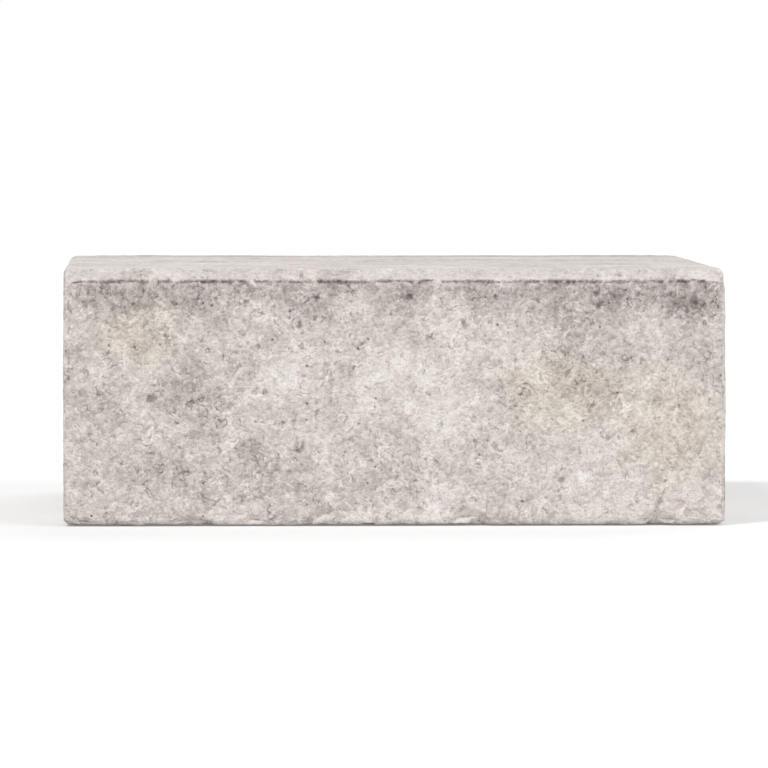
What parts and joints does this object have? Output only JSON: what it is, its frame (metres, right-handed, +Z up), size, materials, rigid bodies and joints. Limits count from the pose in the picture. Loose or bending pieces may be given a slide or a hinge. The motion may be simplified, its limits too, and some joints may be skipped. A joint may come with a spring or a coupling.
{
  "type": "walling stone",
  "caption": "Solid cast-concrete walling stone with flat faces, soft arrises and a narrow pressed chamfer along the top of its face and back, for walls laid dry or on adhesive.",
  "frame": {"origin": "middle of the bottom bed, the face that lies on the course below", "axes": "+X along the wall, to the right as its face is seen; +Y through the wall, from the face to the back; +Z up"},
  "size_m": [0.232, 0.25, 0.09],
  "materials": {
    "concrete": "matte, finely sandy"
  },
  "bodies": {
    "root": {"walling_stone": "concrete"}
  },
  "joints": []
}
